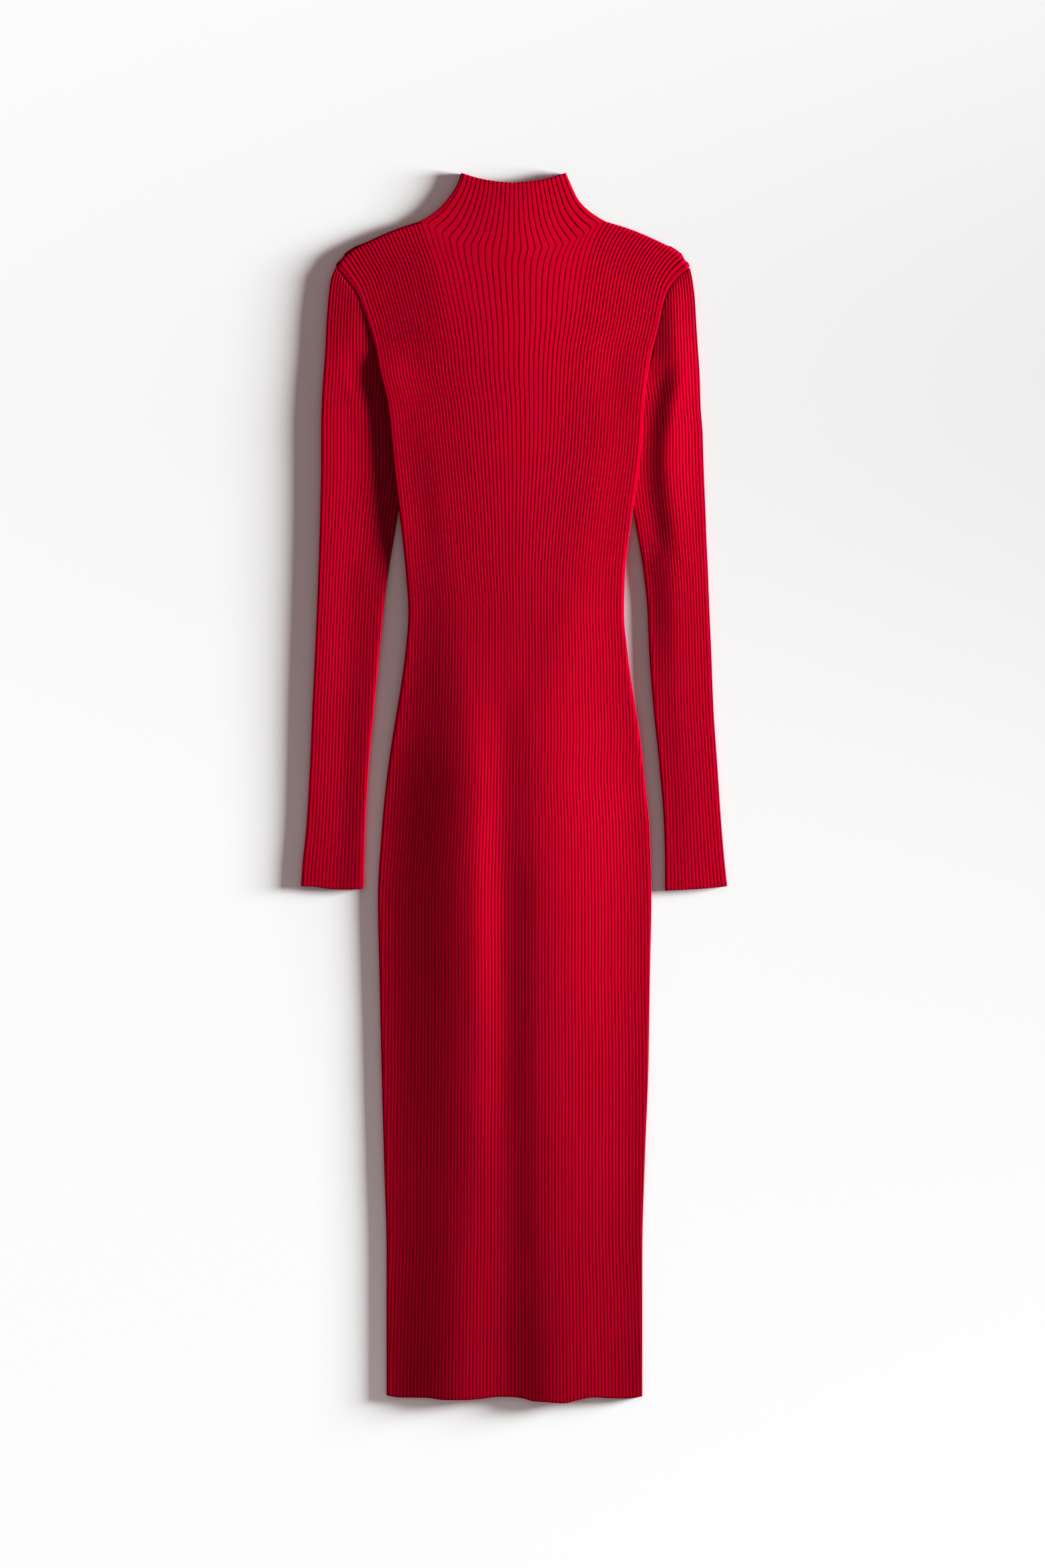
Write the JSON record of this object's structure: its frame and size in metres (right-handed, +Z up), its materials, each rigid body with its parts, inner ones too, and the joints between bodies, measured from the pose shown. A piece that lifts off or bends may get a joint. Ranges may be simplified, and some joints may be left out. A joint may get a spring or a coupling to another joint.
{
  "type": "long-sleeved rib-knit midi dress laid flat",
  "caption": "Close-fitting ribbed knit midi dress with long sleeves and a high neck, laid flat on its back.",
  "frame": {"origin": "centre of the bounding box in X and Y, on the surface the dress lies on", "axes": "+X to the right as seen from above, +Y towards the neck, +Z up out of the front of the dress"},
  "size_m": [0.4188, 1.207, 0.0095],
  "materials": {
    "rib_knit": "matte ribbed knit"
  },
  "bodies": {
    "root": {"front": "rib_knit", "back": "rib_knit", "sleeve_left": "rib_knit", "sleeve_right": "rib_knit"}
  },
  "joints": []
}
